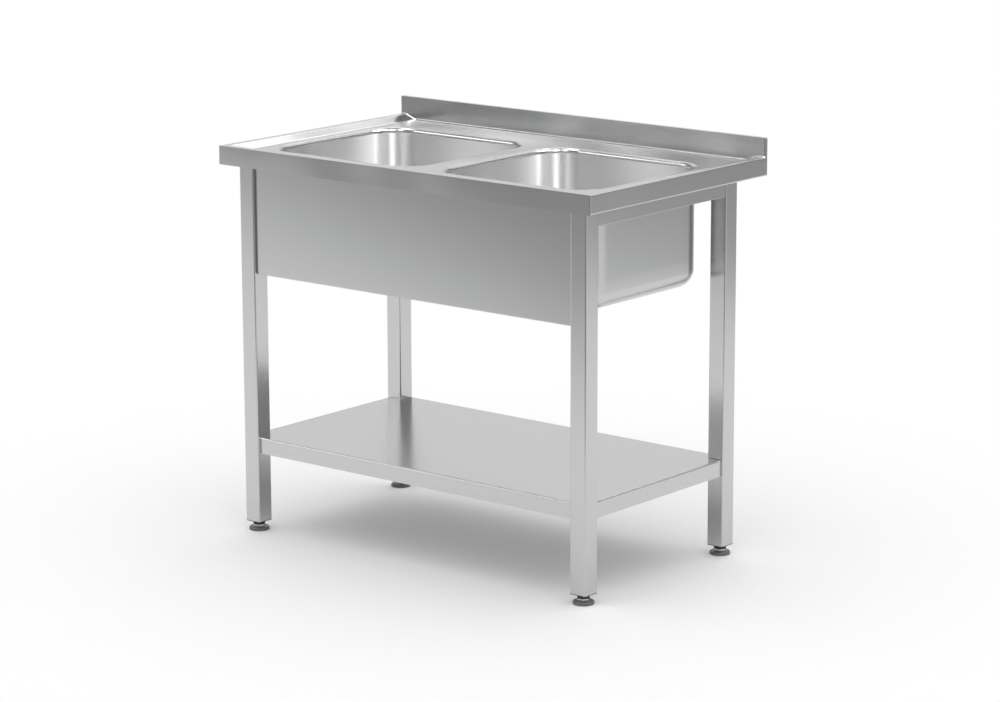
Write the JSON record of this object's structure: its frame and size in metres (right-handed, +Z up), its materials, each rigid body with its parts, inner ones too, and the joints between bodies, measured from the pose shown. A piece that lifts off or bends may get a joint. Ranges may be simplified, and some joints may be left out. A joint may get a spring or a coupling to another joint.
{
  "type": "kitchen sink unit",
  "caption": "Free-standing stainless steel sink unit with two deep bowls, a rear upstand, a front apron, an open under-shelf and four screw feet.",
  "frame": {"origin": "on the floor, under the middle of the worktop", "axes": "+X to the right along the front, +Y from the front to the upstand, +Z up"},
  "size_m": [1, 0.6, 0.885],
  "materials": {
    "brushed": "satin stainless sheet and tube",
    "zinc": "plain bright screws and nuts",
    "black_plastic": "moulded black plastic",
    "pad_plastic": "moulded dark grey plastic",
    "rubber": "black washer"
  },
  "bodies": {
    "unit": {"worktop": "brushed", "left_bowl": "brushed", "right_bowl": "brushed", "front_stiffener": "brushed", "rear_stiffener": "brushed", "left_stiffener": "brushed", "right_stiffener": "brushed", "divider_stiffener": "brushed", "front_rail": "brushed", "rear_rail": "brushed", "left_rail": "brushed", "right_rail": "brushed", "worktop_studs": "zinc", "stud_nuts": "zinc", "front_apron": "brushed", "apron_screws": "zinc", "shelf": "brushed", "shelf_rib": "brushed", "shelf_bolts": "zinc", "leg_rivet_nuts": "zinc", "left_waste_body": "brushed", "left_waste_seal": "rubber", "left_lower_seal": "rubber", "left_backnut": "black_plastic", "right_waste_body": "brushed", "right_waste_seal": "rubber", "right_lower_seal": "rubber", "right_backnut": "black_plastic", "front_left_leg": "brushed", "front_left_insert": "black_plastic", "front_right_leg": "brushed", "front_right_insert": "black_plastic", "rear_left_leg": "brushed", "rear_left_insert": "black_plastic", "rear_right_leg": "brushed", "rear_right_insert": "black_plastic"},
    "front_left_pad": {"front_left_foot_pad": "pad_plastic"},
    "front_left_screw": {"front_left_foot_screw": "zinc"},
    "front_right_pad": {"front_right_foot_pad": "pad_plastic"},
    "front_right_screw": {"front_right_foot_screw": "zinc"},
    "rear_left_pad": {"rear_left_foot_pad": "pad_plastic"},
    "rear_left_screw": {"rear_left_foot_screw": "zinc"},
    "rear_right_pad": {"rear_right_foot_pad": "pad_plastic"},
    "rear_right_screw": {"rear_right_foot_screw": "zinc"},
    "left_plug": {"left_plug": "black_plastic"},
    "right_plug": {"right_plug": "black_plastic"}
  },
  "joints": [
    {"name": "front_left_foot_reach", "type": "slide", "parent": "unit", "child": "front_left_pad", "axis": [0, 0, -1], "range_m": [0, 0.025]},
    {"name": "front_left_foot_turn", "type": "hinge", "parent": "front_left_pad", "child": "front_left_screw", "pos_m": [-0.448, -0.251, 0.0096], "axis": [0, 0, -1], "range_deg": [0, 6000]},
    {"name": "front_right_foot_reach", "type": "slide", "parent": "unit", "child": "front_right_pad", "axis": [0, 0, -1], "range_m": [0, 0.025]},
    {"name": "front_right_foot_turn", "type": "hinge", "parent": "front_right_pad", "child": "front_right_screw", "pos_m": [0.448, -0.251, 0.0096], "axis": [0, 0, -1], "range_deg": [0, 6000]},
    {"name": "rear_left_foot_reach", "type": "slide", "parent": "unit", "child": "rear_left_pad", "axis": [0, 0, -1], "range_m": [0, 0.025]},
    {"name": "rear_left_foot_turn", "type": "hinge", "parent": "rear_left_pad", "child": "rear_left_screw", "pos_m": [-0.448, 0.218, 0.0096], "axis": [0, 0, -1], "range_deg": [0, 6000]},
    {"name": "rear_right_foot_reach", "type": "slide", "parent": "unit", "child": "rear_right_pad", "axis": [0, 0, -1], "range_m": [0, 0.025]},
    {"name": "rear_right_foot_turn", "type": "hinge", "parent": "rear_right_pad", "child": "rear_right_screw", "pos_m": [0.448, 0.218, 0.0096], "axis": [0, 0, -1], "range_deg": [0, 6000]},
    {"name": "left_plug_lift", "type": "slide", "parent": "unit", "child": "left_plug", "axis": [0, 0, 1], "range_m": [0, 0.12]},
    {"name": "right_plug_lift", "type": "slide", "parent": "unit", "child": "right_plug", "axis": [0, 0, 1], "range_m": [0, 0.12]}
  ],
  "couplings": [
    {"joint": "front_left_foot_turn", "follows": "front_left_foot_reach", "rad_per_m": 4188.8},
    {"joint": "front_right_foot_turn", "follows": "front_right_foot_reach", "rad_per_m": 4188.8},
    {"joint": "rear_left_foot_turn", "follows": "rear_left_foot_reach", "rad_per_m": 4188.8},
    {"joint": "rear_right_foot_turn", "follows": "rear_right_foot_reach", "rad_per_m": 4188.8}
  ]
}
